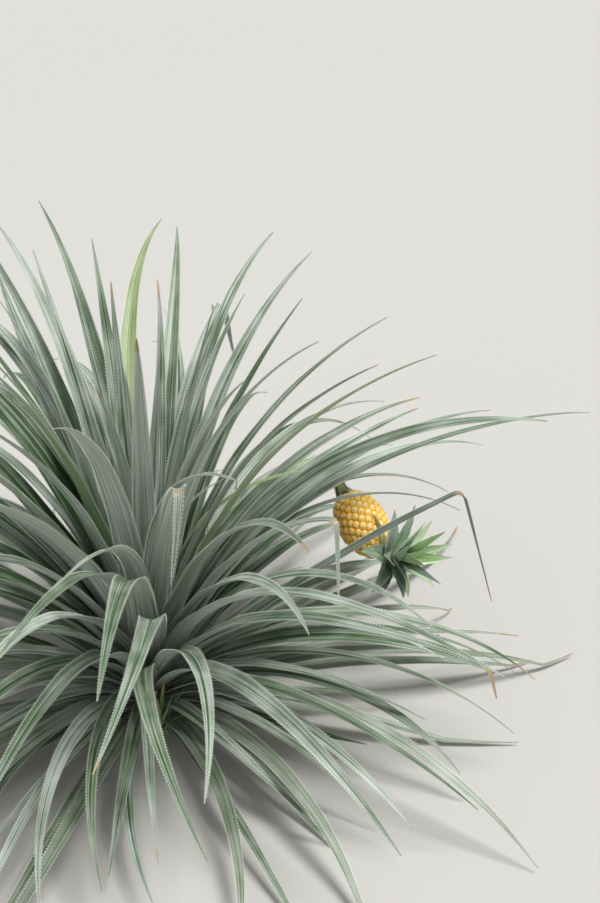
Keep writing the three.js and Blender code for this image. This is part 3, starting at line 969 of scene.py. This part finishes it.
# %% [markdown]
# ## The skirt of old leaves
# The lowest leaves are old. They lie out on the ground, duller than the rest and dried further back from
# their tips. The solids fuse up to four of them with a piece of collar round the stem's foot; here each
# leaf is a piece, and the collar is the stem's own bark.

# %% Lay the old leaves
for place, leaf in skirt_leaves.items():
    fan = place // skirt["leaves_in_fan"] + 1
    ageing = {**leaf, "dries": 0.12}
    grow_leaf(f"old_leaf_{place + 1:02d}", ageing, "old_leaf", "old_leaf", [f"skirt_{fan}"])
for number, leaf in enumerate(between_skirt, 1):
    ageing = {**leaf, "dries": 0.1}
    grow_leaf(f"between_old_leaf_{number:02d}", ageing, "old_leaf", "old_leaf", (), middle_blank)
print("old leaves laid:", len(skirt_leaves) + len(between_skirt))

# %% [markdown]
# ## Tufts: the heart, the crown and the side shoot
# The three tufts are leaves on a short core, on the same spiral as the big ones. Each is grown along +Z
# from the origin and then carried to its place.


# %% The leaves of a tuft
def tuft_leaf(kind, k):
    """Leaf k of a tuft; lift raises the lower leaves on one side, and shrink shortens those across."""
    age = k / (kind["leaves"] - 1)
    spread = kind["launch"][1] - kind["launch"][0]
    turn = (k * golden_angle - kind.get("lift_azimuth", 0)) * degree
    facing = kind.get("lift", 0) * (1 - age) * max(0, math.cos(turn))
    shrink = 1 - kind.get("shrink", 0) * (1 - age) * max(0, -math.cos(turn))
    return follow_midline(
        {
            "key": kind["key"] + k, "crease": None, "aloft": True, "dries": 0.03,
            "height": mix(0.14, 0.85, age) * kind["core_height"], "foot": mix(0.55, 0.1, age) * kind["core"],
            "azimuth": k * golden_angle, "drift": sway(k, 14, 12), "roll": sway(k, 15, 20),
            "launch": mix(*kind["launch"], age**1.2) + sway(k, 11, 0.05 * spread) + facing,
            "droop": mix(*kind["droop"], age) * (1 + sway(k, 12, 0.2)) - facing, "power": 1.4,
            "length": mix(*kind["length"], age) * (1 + sway(k, 13, 0.08)) * shrink,
            "width": mix(*kind["width"], age), "thickness": kind["thickness"], "blade": kind["blade"],
            "channel": kind.get("channel", channel_depth),
        }
    )


def grow_tuft(kind, place, skin_of):
    for k in range(kind["leaves"]):
        name = f"{kind['name']}_{k + 1:02d}"
        rest = kind["slot"], [kind["node"]], kind["blank"], kind["teeth"], place
        grow_leaf(name, tuft_leaf(kind, k), skin_of(k), *rest)
    print(kind["name"], "grown:", kind["leaves"])


def standing_on(point, axis):
    turn = upright.rotation_difference(Vector(axis))
    return Matrix.Translation(Vector(point) * mm) @ turn.to_matrix().to_4x4()


# %% The crown, whose leaves rise on the side that is turned to the light
crown_turn = upright.rotation_difference(Vector(crown_axis))
back = crown_turn.inverted() @ Vector(-fruit_axis)
crown = {
    "name": "crown_leaf", "key": 200, "slot": "crown_leaf", "node": "fruit_crown", "blank": short_blank,
    "teeth": (3.6, 1.2), "leaves": 23, "core": 10, "core_height": 30, "launch": (12, 84), "droop": (44, 8),
    "length": (90, 104), "width": (36, 25), "thickness": 2.4, "blade": 1.5, "channel": 0.24,
    "shrink": 0.42, "lift": 30, "lift_azimuth": math.atan2(back.y, back.x) / degree,
}


def crown_skin(k):
    """Painted light and shade: lit green towards the sun lamp, else silvery above and shaded dark below."""
    azimuth = k * golden_angle * degree
    towards = crown_turn @ Vector((math.cos(azimuth), math.sin(azimuth), 0.3))
    if towards.x > 0.55 or k > 18:
        return "crown_lit_green"
    return "crown_silver" if towards.z > 0.2 else "crown_shaded_dark"


grow_tuft(crown, standing_on(crown_foot, crown_axis), crown_skin)

# %% Grow the heart and the side shoot
heart = {
    "name": "heart_leaf", "key": 300, "slot": "leaf", "node": "heart_leaves", "blank": fine_blank,
    "teeth": (4.6, 1.9), "leaves": 9, "core": 10, "core_height": 84, "launch": (81, 89), "droop": (14, 2),
    "length": (560, 250), "width": (30, 17), "thickness": 5.6, "blade": 2.2,
}
shoot = {
    "name": "shoot_leaf", "key": 400, "slot": "young_leaf", "node": "side_shoot", "blank": short_blank,
    "teeth": (3.2, 0.8), "leaves": 15, "core": 6, "core_height": 22, "launch": (56, 86), "droop": (52, 8),
    "length": (72, 80), "width": (9, 7), "thickness": 1.6, "blade": 1.1,
}
shoot_turn = Matrix.Rotation(runner["azimuth"] * degree, 4, "Z")
shoot_place = Matrix.Translation(round_shoot(runner["reach"], 2) * mm) @ shoot_turn
grow_tuft(heart, Matrix.Translation((0, 0, (stem_height + clear) * mm)), lambda k: "silver_leaf")
grow_tuft(shoot, shoot_place, lambda k: "shoot_green")

# %% [markdown]
# ## The fruit
# A pineapple is many small fruits grown together on a spiral. Each one shows as a low many-sided boss, an
# eye, with a groove round it. Instead of hundreds of bosses, one barrel is spun from its profile, and every
# point of it then moves out or in by its distance to the nearest and the second nearest eye, which gives
# the many-sided outlines by itself.


# %% Spin the barrel
def spin_profile(name, profile, panels_around):
    """Spin a line of radii and heights round the Z axis into one smooth closed skin."""
    shell = bmesh.new()
    corners = [shell.verts.new((r, 0, z)) for r, z in profile]
    edges = [shell.edges.new(pair) for pair in zip(corners, corners[1:])]
    around = {"cent": (0, 0, 0), "axis": (0, 0, 1), "angle": 2 * math.pi, "steps": panels_around}
    bmesh.ops.spin(shell, geom=corners + edges, use_merge=True, **around)
    bmesh.ops.remove_doubles(shell, verts=shell.verts, dist=0.01)
    bmesh.ops.recalc_face_normals(shell, faces=shell.faces)
    mesh = mesh_from(shell, name)
    mesh.shade_smooth()
    return mesh


def barrel_radius(t):
    return 0.94 * fruit_radius * np.sin(np.pi * np.clip(t, 0.001, 0.999)) ** 0.36


rings = 160
barrel = [(0, -fruit_length / 2)]
barrel += [(float(barrel_radius(j / rings)), (j / rings - 0.5) * fruit_length) for j in range(1, rings)]
barrel += [(0, fruit_length / 2)]
rind = spin_profile("fruit_rind", barrel, 260)
print("faces on the rind:", len(rind.polygons))


# %% Swell the eyes and cut the grooves between them
eyes = 190
eye_key = np.arange(eyes)
astray = [np.array([chance(int(k), use) - 0.5 for k in eye_key]) for use in (42, 43)]
eye_angle = (eye_key * golden_angle % 360 + 3.4 * astray[0]) * degree
eye_share = 0.045 + 0.91 * eye_key / (eyes - 1) + 0.016 * astray[1]
eye_size = 7.4


def eye_distances(points):
    """The nearest eye of each point, and how far off that one and the next one are."""
    angle = np.arctan2(points[:, 1], points[:, 0])[:, None]
    t = points[:, 2][:, None] / fruit_length + 0.5
    turn = np.abs((angle - eye_angle + np.pi) % (2 * np.pi) - np.pi)
    girth = 0.5 * (barrel_radius(t) + barrel_radius(eye_share)[None, :])
    apart = np.hypot(turn * girth, (t - eye_share) * fruit_length)
    order = np.argpartition(apart, 2, axis=1)[:, :2]
    swapped = np.take_along_axis(apart, order, 1)
    order = np.take_along_axis(order, np.argsort(swapped, axis=1), 1)
    near = np.take_along_axis(apart, order, 1)
    return order[:, 0], near[:, 0], near[:, 1]


def straight_out(points):
    """How far each point is from the Z axis, and the way straight out from it."""
    radius = np.hypot(points[:, 0], points[:, 1])
    return radius, points * (1, 1, 0) / np.maximum(radius, 1)[:, None]


dome_height, sunk, groove_depth, dimple_depth = 2.7, 1.1, 0.9, 0.5
flat = points_of(rind)
own, first, second = eye_distances(flat)
border = np.clip((second - first) / (second + first) * 2.2, 0, 1)  # 0 in the groove, 1 in the eye
radius, outward = straight_out(flat)
share = flat[:, 2] / fruit_length + 0.5
dome = np.clip(1 - (first / eye_size) ** 2, 0, 1)
groove = 1 - ease(border, 0, 0.3)
dimple = np.exp(-((first / 1.5) ** 2))
swell = dome_height * dome - sunk - groove_depth * groove - dimple_depth * dimple
swell *= ease(radius, 6, 22)  # but the barrel's two ends stay flat
tilt = (share - eye_share[own]) * fruit_length  # above the eye's middle, towards the crown
swell += np.clip(-tilt, -5, 5) * 0.1 * border
put_points(rind, (flat + outward * swell[:, None]) * mm)
put_values(rind, eye=border, height=share, tilt=tilt / 9, middle=first / eye_size)
put_values(rind, tone=[chance(int(k), 41) for k in own])
fruit_place = standing_on(fruit_centre, fruit_axis)
rind.transform(fruit_place)
print("eyes on the rind:", eyes)

# %% [markdown]
# ## The finish of the rind
# The rind is golden, and painted shade turns it orange low on the side away from the sun lamp. Each eye is
# pale, with a small pink-white spot in its middle that is partly dust and partly a painted highlight, set
# towards the stalk end, the side turned up to the light. The groove round it is orange-brown with dark
# flecks, and near the stalk the skin stays a pale yellow-green. The distance to the groove was kept as an
# attribute for this.


# %% Mix the rind's finish
def rind_finish():
    f = Finish("rind", Subsurface_Weight=0.08, Subsurface_Scale=0.3, Subsurface_Radius=(0.01, 0.006, 0.002))
    eye, height, tilt = (f.attribute(name) for name in ("eye", "height", "tilt"))
    middle, tone = f.attribute("middle"), f.attribute("tone")
    place = f.place()
    sideways, _, upwards = f.parts(place)
    grain = f.noise(place, 420.0, 3.0, 0.6)
    cloud = f.noise(place, 60.0, 2.0)
    # painted shade: lit and shaded copies of gold and pale, orange low on the side away from the sun lamp
    side = (0.338 - sideways) * 19 + (0.22 - upwards) * 7
    shaded = (side + (cloud - 0.5) * 0.9 + (tone - 0.5) * 0.6).step(-0.15, 0.85)
    gold = f.blend(shaded, "#fec338", "#f8a01c")
    pale = f.blend(shaded, "#ffe790", "#ffc858")
    boss = f.blend((eye.step(0.2, 0.75) * (0.35 + grain * 0.6 + (tone - 0.5) * 0.3)).held(), gold, pale)
    # painted highlight and dust: a pink-white spot in each eye, set towards the stalk end and the light
    highlight_and_dust_spot = 1 - (middle + tilt * 0.5 + (grain - 0.5) * 0.6).step(0.02, 0.26)
    highlight_and_dust = f.blend((highlight_and_dust_spot * (0.8 + (tone - 0.5) * 1.6)).held(), boss, "#ffebe6")
    green = f.blend(((1 - height.step(0.03, 0.2)) * 0.75).held(), highlight_and_dust, "#e6e2a2")
    groove = f.blend((1 - eye.step(0.02, 0.2)) * (0.55 + grain * 0.4), green, "#cf7414")
    flecks = f.noise(place, 230.0, 2.0)
    specks = f.blend((1 - eye.step(0.0, 0.26)) * flecks.step(0.54, 0.62) * 0.85, groove, "#7a3a1c")
    f.paint(Base_Color=specks, Roughness=0.36 + grain * 0.22)
    f.relief(grain * 0.5 + eye * 0.2, 0.4, 0.0009)
    return f


place_piece(rind, rind_finish(), "rind", "fruit")
print("rind finished")

# %% [markdown]
# ## The bracts of the fruitlets
# A small pointed scale, the bract, lies against each eye with its tip towards the crown. It is thin, pink
# and pale, with a dry brown point. One scale is made from a cut grid and repeated over the spiral.


# %% Make one bract and set it on every eye
def make_scale():
    strip = bmesh.new()
    bmesh.ops.create_grid(strip, x_segments=4, y_segments=4, size=1)
    bmesh.ops.solidify(strip, geom=strip.faces[:], thickness=0.2)
    for vertex in strip.verts:
        v = (vertex.co.y + 1) / 2
        narrow = 1 - 0.97 * v**1.3
        vertex.co.z += 0.55 * v * v - 0.35 * (vertex.co.x * narrow) ** 2
        vertex.co.x *= narrow
    bmesh.ops.recalc_face_normals(strip, faces=strip.faces)
    return mesh_from(strip, "scale")


scale = make_scale()
shown = (eye_share > 0.08) & (eye_share < 0.92)
at, turned = eye_share[shown], eye_angle[shown]
across_eye = np.stack([-np.sin(turned), np.cos(turned), 0 * turned], 1)
out_of_eye = np.stack([np.cos(turned), np.sin(turned), 0 * turned], 1)
slope = (barrel_radius(at + 0.01) - barrel_radius(at - 0.01)) / (0.02 * fruit_length)
up_eye = unit(out_of_eye * slope[:, None] + (0, 0, 1))
face_out = unit(np.cross(across_eye, up_eye))
middles = out_of_eye * (barrel_radius(at) + 0.8)[:, None] + up_eye * 0.6 + face_out * 0.2
middles[:, 2] += (at - 0.5) * fruit_length
bracts = repeat_shape("fruit_bracts", scale, middles, across_eye * 2.0, up_eye * 3.4, face_out * 2.8)
put_values(bracts, tip=np.tile((points_of(scale)[:, 1] + 1) / 2, len(at)))
bracts.transform(fruit_place @ Matrix.Scale(mm, 4))
bracts.shade_smooth()
print("bracts:", len(at))


# %% The bracts' finish
def bract_finish():
    f = Finish("bract")
    tip = f.attribute("tip")
    grain = f.noise(f.place(), 300.0, 2.0)
    skin = f.blend(grain, "#f9e2b4", "#f8d8cc")
    dried = f.blend((tip + (grain - 0.5) * 0.5).step(0.72, 0.98), skin, "#8c4f2c")
    f.paint(Base_Color=dried, Roughness=0.5 + grain * 0.2)
    f.relief(grain, 0.3, 0.0006)
    return f


place_piece(bracts, bract_finish(), "rind", "fruit")
print("bracts placed")

# %% [markdown]
# ## The fruit's collar, and the leaves of its stalk
# Where the stalk meets the fruit a few pale pointed leaves lie against the shoulder of the fruit, and
# others stand along the stalk, smaller the further up they grew. They are leaves of the same rule again.
# A leaf whose droop is below zero bends up instead of down, so it hugs the fruit.

# %% Grow the collar, and the ruff at the fruit's other end
collar = {
    "name": "collar_leaf", "key": 700, "slot": "young_leaf", "node": "fruit", "blank": short_blank,
    "teeth": (3.0, 0.6), "leaves": 9, "core": 9, "core_height": 5, "launch": (-4, 6), "droop": (-74, -66),
    "length": (30, 24), "width": (13, 11), "thickness": 1.2, "blade": 0.9,
}
ruff = {
    **collar, "name": "ruff_leaf", "key": 720, "leaves": 7, "core": 12, "launch": (-6, 4),
    "droop": (-80, -68), "length": (34, 26), "width": (12, 10),
}
collar_place = standing_on(on_fruit_axis(-fruit_length / 2 - 4.5), fruit_axis)
ruff_place = standing_on(on_fruit_axis(fruit_length / 2 + 2), -fruit_axis)
grow_tuft(collar, collar_place, lambda k: "collar_green")
grow_tuft(ruff, ruff_place, lambda k: "dry_leaf")

# %% Lay one dry leaf on the rind
facing = fruit_place.inverted().to_3x3() @ Vector((0.12, -0.7, 0.7))
angle = math.atan2(facing.y, facing.x) - 17 * degree
share = np.linspace(0.97, 0.54, leaf_steps + 1)
reach = barrel_radius(share) + 2.2 + 1.2 * np.linspace(0, 1, leaf_steps + 1) ** 3
line = np.stack([reach * math.cos(angle), reach * math.sin(angle), (share - 0.5) * fruit_length], 1)
lying = {"key": 735, "line": line, "length": 54, "width": 11, "roll": 8, "blade": 1.1}
lying.update({"crease": None, "dry_from": 0.42})
grow_leaf("leaf_on_rind", lying, "dry_leaf", "young_leaf", ["fruit"], short_blank, (5.0, 0.5), fruit_place)
print("it hugs the rind from share", share[0], "to", share[-1], "of the fruit's length")

# %% Grow the stalk's leaves
stalk_leaves = 14
for k, share in enumerate(np.linspace(0.08, 0.9, stalk_leaves)):
    here, ahead = (through_points(stalk_points(), share + step) for step in (0, 0.02))
    leaf = {
        "key": 740 + k, "height": 0, "foot": 7.6, "crease": None, "aloft": True, "dries": 0.2,
        "azimuth": k * golden_angle + 60, "drift": sway(k, 14, 10), "roll": sway(k, 15, 16),
        "launch": mix(78, 70, share), "droop": mix(30, 12, share), "power": 1.2,
        "length": mix(210, 26, share**0.62), "width": mix(27, 12, share), "thickness": 1.6, "blade": 1.3,
    }
    skin = ("green_leaf", "silver_leaf", "turning_leaf")[k % 3]
    place = standing_on(here, (ahead - here) / np.linalg.norm(ahead - here))
    rest = "leaf", ["fruit_stalk"], short_blank, (3.4, 1.0), place
    grow_leaf(f"stalk_leaf_{k + 1:02d}", follow_midline(leaf), skin, *rest)
print("leaves on the stalk:", stalk_leaves)

# %% [markdown]
# ## Stalk and stem
# The stalk is as thick as a finger and ringed where its bracts grew. It is drawn out from a ring along its
# curve, like the core of the crown and the runner of the side shoot. The stem is a stout cone, spun from its
# outline, and the scars of the leaves that it has lost are pushed out of its skin.


# %% Draw the stalk out along its curve
def draw_tube(name, path, radii, sides):
    """A closed tube along a path, whose ring is turned at each step only as far as the path turns."""
    tube = bmesh.new()
    path = [Vector(p) for p in path]
    ring = bmesh.ops.create_circle(tube, cap_ends=True, segments=sides, radius=1)["verts"]
    edges = {e for v in ring for e in v.link_edges}
    normal = upright
    rest = [v.co.copy() for v in ring]
    turn = None
    for i, point in enumerate(path):
        ahead = path[min(i + 1, len(path) - 1)] - path[max(i - 1, 0)]
        swing = normal.rotation_difference(ahead.normalized())
        turn = swing.to_matrix() if turn is None else swing.to_matrix() @ turn
        normal = ahead.normalized()
        if i:
            made = bmesh.ops.extrude_edge_only(tube, edges=list(edges))["geom"]
            ring = [g for g in made if isinstance(g, bmesh.types.BMVert)]
            edges = {g for g in made if isinstance(g, bmesh.types.BMEdge)}
        for v, flat_place in zip(ring, rest):
            v.co = point + turn @ (flat_place * radii[i])
    bmesh.ops.holes_fill(tube, edges=list(edges), sides=sides)
    bmesh.ops.recalc_face_normals(tube, faces=tube.faces)
    mesh = mesh_from(tube, name)
    mesh.shade_smooth()
    return mesh


marks = np.linspace(0, 1, 91)
stalk_radius, ring_height = 8.1, 0.45
stalk_line = [through_points(stalk_points(), t) * mm for t in marks]
stalk_radii = [(stalk_radius + ring_height * math.sin(i * 0.9) ** 8) * mm for i in range(len(marks))]
stalk = draw_tube("stalk", stalk_line, stalk_radii, 24)
print("stalk faces:", len(stalk.polygons))

# %% Spin the stem and push out its leaf scars
stem_line = [(stem_radius(z), z) for z in np.linspace(0, stem_height, 121)]
bark = spin_profile("stem_bark", [(0, 0)] + stem_line + [(0, stem_height)], 96)
flat = points_of(bark)
radius, outward = straight_out(flat)
angle = np.arctan2(flat[:, 1], flat[:, 0])
scar_rise, scar_spirals = 7, 5
turns = flat[:, 2] / scar_rise + angle / (2 * np.pi) * scar_spirals
scar = np.abs(np.sin(np.pi * turns)) ** 6 + 0.3 * np.sin(9 * angle + flat[:, 2] / 5)
inner = (radius > 5) & (flat[:, 2] > 0.5) & (flat[:, 2] < stem_height - 0.5)
put_points(bark, (flat + outward * np.where(inner, 0.5 * scar - 0.3, 0)[:, None]) * mm)
put_values(bark, scar=scar)
print("stem faces:", len(bark.polygons))


# %% Finishes of the stalk and the stem
def stalk_finish():
    f = Finish("stalk")
    grain = f.noise(f.place(), 160.0, 3.0)
    cloud = f.noise(f.place(), 24.0, 2.0)
    skin = f.blend(cloud.step(0.35, 0.65), "#7f9150", "#a9ad78")
    f.paint(Base_Color=f.blend(grain * 0.5, skin, "#6c6a45"), Roughness=0.5 + grain * 0.25)
    f.relief(grain, 0.4, 0.001)
    return f


def bark_finish():
    f = Finish("bark")
    grain = f.noise(f.place(), 120.0, 4.0, 0.6)
    scar = f.attribute("scar")
    skin = f.blend(grain, "#6d5a3c", "#9a8a63")
    f.paint(Base_Color=f.blend(scar.step(0.4, 1.0) * 0.7, skin, "#4c3d28"), Roughness=0.7 + grain * 0.25)
    f.relief(grain, 0.6, 0.0015)
    return f


stalk_skin = stalk_finish()
core_line = [on_fruit_axis(fruit_length / 2 + step) * mm for step in (-2, 4, 8)]
core_line += [(crown_foot + crown_axis * step) * mm for step in (2, 8, 14, 20, 26)]
core = draw_tube("crown_core", core_line, [r * mm for r in (9, 9.4, 9.6, 9.6, 9.2, 8, 6, 3)], 20)
start = stem_radius(2) + 5 + 2 * clear
runner_line = [round_shoot(r, runner["height"]) * mm for r in np.linspace(start, runner["reach"], 9)]
runner_tube = draw_tube("runner", runner_line, [runner["radius"] * mm] * 9, 20)
place_piece(stalk, stalk_skin, "stalk", "fruit_stalk")
place_piece(bark, bark_finish(), "stem", "stem")
place_piece(core, stalk_skin, "crown_leaf", "fruit_crown")
place_piece(runner_tube, stalk_skin, "young_leaf", "side_shoot")
print("stalk, stem and runner placed")

# %% [markdown]
